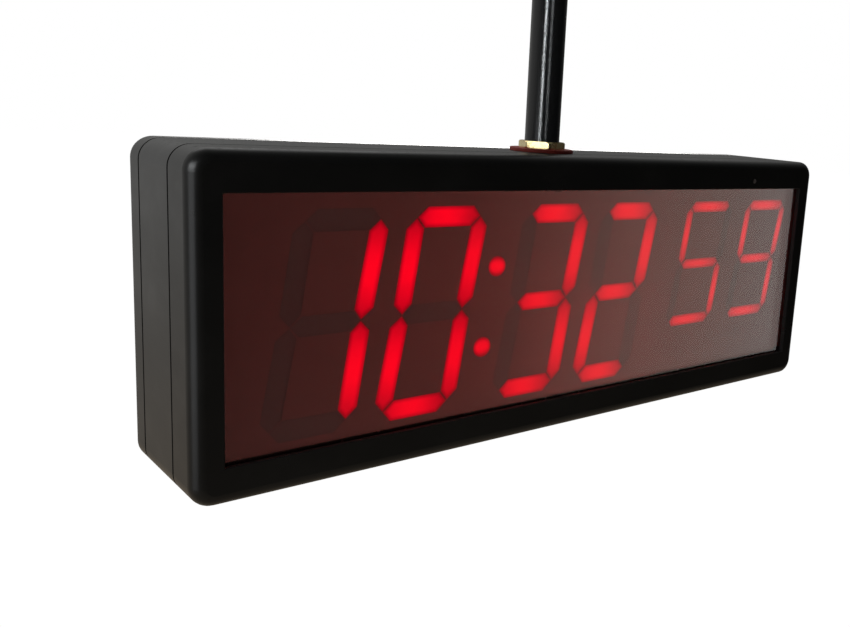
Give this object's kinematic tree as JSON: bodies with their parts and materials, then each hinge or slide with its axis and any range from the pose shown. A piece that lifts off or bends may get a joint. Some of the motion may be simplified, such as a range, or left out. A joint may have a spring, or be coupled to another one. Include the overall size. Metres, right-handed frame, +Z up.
{
  "type": "interval round timer",
  "caption": "Ceiling-hung LED round timer: slanted seven-segment digits behind a smoked window, in a three-section black case that swivels on a steel drop tube.",
  "frame": {"origin": "centre of the ceiling flange's top face, on the drop tube's axis", "axes": "+Z up towards the ceiling, display faces -Y, +X to the right of a person facing the display"},
  "size_m": [0.43, 0.077, 0.405],
  "materials": {
    "powder_coat": "textured black powder coat",
    "case_plastic": "satin black ABS with a fine moulded grain",
    "smoked_acrylic": "glossy smoked red acrylic sheet",
    "reflector": "matt dark moulding",
    "lit_red": "glowing red light guide",
    "dark_segment": "unlit smoked light guide",
    "brass": "machined brass",
    "red_fibre": "vulcanised red fibre",
    "zinc_steel": "zinc plated",
    "black_screws": "black zinc",
    "black_plastic": "moulded black",
    "tape": "foam tape",
    "sensor_dark": "infrared pass plastic",
    "led_package": "moulded",
    "circuit_board": "green solder mask",
    "chip_black": "moulded",
    "connector_cream": "moulded",
    "ribbon_grey": "ribbon",
    "cell_steel": "nickel steel",
    "button_grey": "moulded",
    "rocker_black": "moulded",
    "transformer_tape": "taped winding",
    "capacitor_sleeve": "shrink sleeve",
    "fuse_glass": "ceramic tube",
    "terminal_green": "moulded",
    "cable_sheath": "PVC sheath",
    "core_copper": "insulated core",
    "lead_red": "insulated lead"
  },
  "bodies": {
    "hanger": {"ceiling_flange": "powder_coat", "flange_grub_screw": "zinc_steel", "drop_tube": "powder_coat", "supply_cable_upper": "cable_sheath", "outer_locknut": "brass", "fibre_washer": "red_fibre", "inner_washer": "zinc_steel", "inner_locknut": "brass", "tube_end_bush": "black_plastic"},
    "case": {"front_bezel": "case_plastic", "mid_housing": "case_plastic", "rear_cover": "case_plastic", "case_screws": "black_screws", "window_tape": "tape", "display_window": "smoked_acrylic", "sensor_lens": "sensor_dark", "ir_receiver": "sensor_dark", "reflector_frame": "reflector", "lit_hours": "lit_red", "lit_minutes": "lit_red", "lit_seconds": "lit_red", "colon_dots": "lit_red", "dark_hours": "dark_segment", "dark_minutes": "dark_segment", "dark_seconds": "dark_segment", "display_leds": "led_package", "display_pcb": "circuit_board", "display_screws": "zinc_steel", "driver_chips": "chip_black", "ribbon_plugs": "connector_cream", "ribbon_cable": "ribbon_grey", "controller_pcb": "circuit_board", "controller_screws": "zinc_steel", "microcontroller": "chip_black", "clock_chip": "chip_black", "cell_holder": "black_plastic", "coin_cell": "cell_steel", "buzzer": "black_plastic", "key_switches": "black_plastic", "power_switch_body": "black_plastic", "supply_pcb": "circuit_board", "supply_screws": "zinc_steel", "transformer": "transformer_tape", "smoothing_capacitors": "capacitor_sleeve", "mains_fuse": "fuse_glass", "terminal_block": "terminal_green", "supply_cable_lower": "cable_sheath", "supply_cores": "core_copper", "switch_leads": "lead_red", "low_voltage_leads": "lead_red"},
    "key_mode": {"button_mode": "button_grey", "plunger_mode": "connector_cream"},
    "key_down": {"button_down": "button_grey", "plunger_down": "connector_cream"},
    "key_up": {"button_up": "button_grey", "plunger_up": "connector_cream"},
    "key_start": {"button_start": "button_grey", "plunger_start": "connector_cream"},
    "rocker": {"power_rocker": "rocker_black"}
  },
  "joints": [
    {"name": "case_swivel", "type": "hinge", "parent": "hanger", "child": "case", "pos_m": [0, 0, -0.25], "axis": [0, 0, 1], "range_deg": [-170, 170]},
    {"name": "press_mode", "type": "slide", "parent": "case", "child": "key_mode", "axis": [0, -1, 0], "range_m": [0, 0.001], "stiffness_N_per_m": 500, "springref_m": -0.002},
    {"name": "press_down", "type": "slide", "parent": "case", "child": "key_down", "axis": [0, -1, 0], "range_m": [0, 0.001], "stiffness_N_per_m": 500, "springref_m": -0.002},
    {"name": "press_up", "type": "slide", "parent": "case", "child": "key_up", "axis": [0, -1, 0], "range_m": [0, 0.001], "stiffness_N_per_m": 500, "springref_m": -0.002},
    {"name": "press_start", "type": "slide", "parent": "case", "child": "key_start", "axis": [0, -1, 0], "range_m": [0, 0.001], "stiffness_N_per_m": 500, "springref_m": -0.002},
    {"name": "power_rock", "type": "hinge", "parent": "case", "child": "rocker", "pos_m": [0.1895, 0.032, -0.3575], "axis": [1, 0, 0], "range_deg": [-14, 0]}
  ]
}
